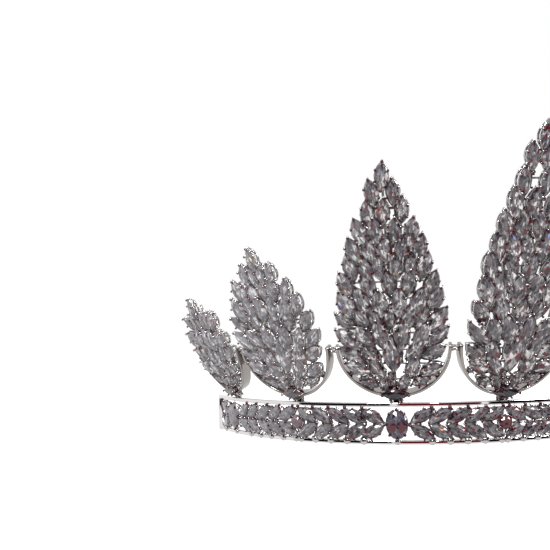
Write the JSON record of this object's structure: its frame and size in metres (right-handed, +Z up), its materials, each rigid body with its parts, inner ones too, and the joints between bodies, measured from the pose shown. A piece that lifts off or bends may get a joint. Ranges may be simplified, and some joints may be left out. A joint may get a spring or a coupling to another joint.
{
  "type": "tiara crown",
  "caption": "Open-back tiara crown: a jewelled arc band with leaning flame-shaped spires of marquise stones in U-shaped rims.",
  "frame": {"origin": "under the middle of the crown's bounding box, on the plane the band stands on", "axes": "+Z up along the ring axis, -Y to the front of the crown where the tallest spire stands, +X to the crown's right as seen from the front"},
  "size_m": [0.175, 0.1178, 0.0991],
  "materials": {
    "polished_metal": "polished rhodium-look plating",
    "setting_metal": "plated wire and claw settings",
    "cut_crystal": "faceted clear stones, polished"
  },
  "bodies": {
    "root": {"band_bottom_rail": "polished_metal", "band_chevrons_12": "cut_crystal", "band_chevrons_23": "cut_crystal", "band_chevrons_34": "cut_crystal", "band_chevrons_45": "cut_crystal", "band_chevrons_56": "cut_crystal", "band_chevrons_67": "cut_crystal", "band_chevrons_left": "cut_crystal", "band_chevrons_right": "cut_crystal", "band_end_loop_left": "polished_metal", "band_end_loop_right": "polished_metal", "band_end_plate_left": "polished_metal", "band_end_plate_right": "polished_metal", "band_oval_1": "cut_crystal", "band_oval_3": "cut_crystal", "band_oval_5": "cut_crystal", "band_oval_7": "cut_crystal", "band_round_2": "cut_crystal", "band_round_4": "cut_crystal", "band_round_6": "cut_crystal", "band_top_rail": "polished_metal", "link_bar_12": "polished_metal", "link_bar_23": "polished_metal", "link_bar_34": "polished_metal", "link_bar_45": "polished_metal", "link_bar_56": "polished_metal", "link_bar_67": "polished_metal", "spire_1_frame": "setting_metal", "spire_1_post": "polished_metal", "spire_1_rim": "polished_metal", "spire_1_stones": "cut_crystal", "spire_2_frame": "setting_metal", "spire_2_post": "polished_metal", "spire_2_rim": "polished_metal", "spire_2_stones": "cut_crystal", "spire_3_frame": "setting_metal", "spire_3_post": "polished_metal", "spire_3_rim": "polished_metal", "spire_3_stones": "cut_crystal", "spire_4_frame": "setting_metal", "spire_4_post": "polished_metal", "spire_4_rim": "polished_metal", "spire_4_stones": "cut_crystal", "spire_5_frame": "setting_metal", "spire_5_post": "polished_metal", "spire_5_rim": "polished_metal", "spire_5_stones": "cut_crystal", "spire_6_frame": "setting_metal", "spire_6_post": "polished_metal", "spire_6_rim": "polished_metal", "spire_6_stones": "cut_crystal", "spire_7_frame": "setting_metal", "spire_7_post": "polished_metal", "spire_7_rim": "polished_metal", "spire_7_stones": "cut_crystal"}
  },
  "joints": []
}
